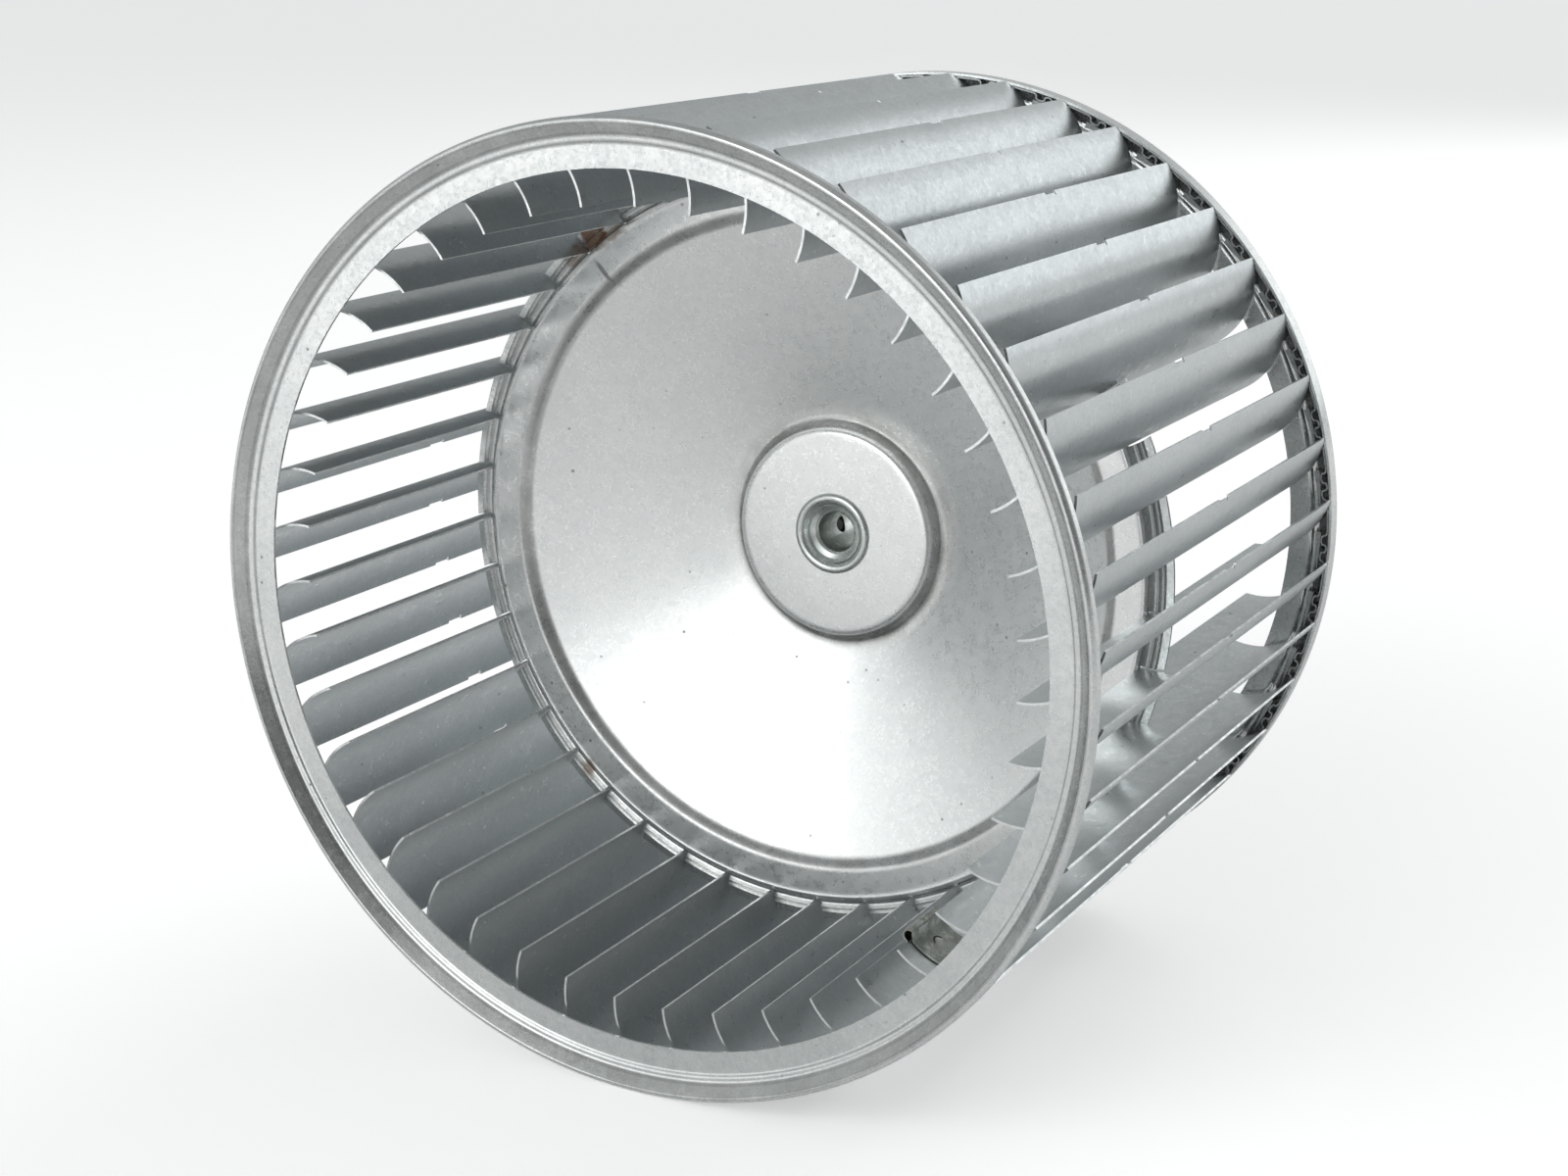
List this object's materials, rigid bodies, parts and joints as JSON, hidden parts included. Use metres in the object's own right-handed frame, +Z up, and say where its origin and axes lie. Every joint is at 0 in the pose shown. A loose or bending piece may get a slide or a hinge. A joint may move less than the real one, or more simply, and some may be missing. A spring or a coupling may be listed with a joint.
{
  "type": "blower motor wheel",
  "caption": "Double-inlet forward-curved blower wheel in galvanised sheet steel, with a dished centre disc, a bored hub and a radial set screw.",
  "frame": {"origin": "centre of the wheel's box: on the axle line, midway between the two end rings' outer planes", "axes": "+Y along the axle, from the front end ring (the inlet on the hub's beaded side) to the rear end ring (the side of the hub's barrel); +Z up; +X to the right seen from the front"},
  "size_m": [0.2794, 0.2054, 0.2794],
  "materials": {
    "galvanised_ring": "galvanised sheet, satin, fine grey speckle, bright along the rolled bead",
    "galvanised_blade": "galvanised strip, satin, fine speckle and faint mottling, bright sheared edges",
    "galvanised_disc": "galvanised sheet, spun or drawn, satin with radial sheen, small rust stains at the rim",
    "plated_hub": "zinc-plated turned steel, semi-bright",
    "plated_clip": "zinc-plated spring steel, semi-bright",
    "black_screw": "black oxide, oiled, bright at the cup point"
  },
  "bodies": {
    "wheel": {"front_end_ring": "galvanised_ring", "rear_end_ring": "galvanised_ring", "front_edge_web": "galvanised_blade", "rear_edge_web": "galvanised_blade", "blade_01": "galvanised_blade", "blade_02": "galvanised_blade", "blade_03": "galvanised_blade", "blade_04": "galvanised_blade", "blade_05": "galvanised_blade", "blade_06": "galvanised_blade", "blade_07": "galvanised_blade", "blade_08": "galvanised_blade", "blade_09": "galvanised_blade", "blade_10": "galvanised_blade", "blade_11": "galvanised_blade", "blade_12": "galvanised_blade", "blade_13": "galvanised_blade", "blade_14": "galvanised_blade", "blade_15": "galvanised_blade", "blade_16": "galvanised_blade", "blade_17": "galvanised_blade", "blade_18": "galvanised_blade", "blade_19": "galvanised_blade", "blade_20": "galvanised_blade", "blade_21": "galvanised_blade", "blade_22": "galvanised_blade", "blade_23": "galvanised_blade", "blade_24": "galvanised_blade", "blade_25": "galvanised_blade", "blade_26": "galvanised_blade", "blade_27": "galvanised_blade", "blade_28": "galvanised_blade", "blade_29": "galvanised_blade", "blade_30": "galvanised_blade", "blade_31": "galvanised_blade", "blade_32": "galvanised_blade", "blade_33": "galvanised_blade", "blade_34": "galvanised_blade", "blade_35": "galvanised_blade", "blade_36": "galvanised_blade", "blade_37": "galvanised_blade", "blade_38": "galvanised_blade", "blade_39": "galvanised_blade", "blade_40": "galvanised_blade", "blade_41": "galvanised_blade", "blade_42": "galvanised_blade", "blade_43": "galvanised_blade", "centre_disc": "galvanised_disc", "rim_crimp_ring": "galvanised_disc", "hub": "plated_hub", "balance_clip": "plated_clip"},
    "set_screw": {"set_screw": "black_screw"}
  },
  "joints": [
    {"name": "set_screw_travel", "type": "slide", "parent": "wheel", "child": "set_screw", "axis": [-0.9744, 0, -0.225], "range_m": [-0.0015, 0.004]}
  ]
}
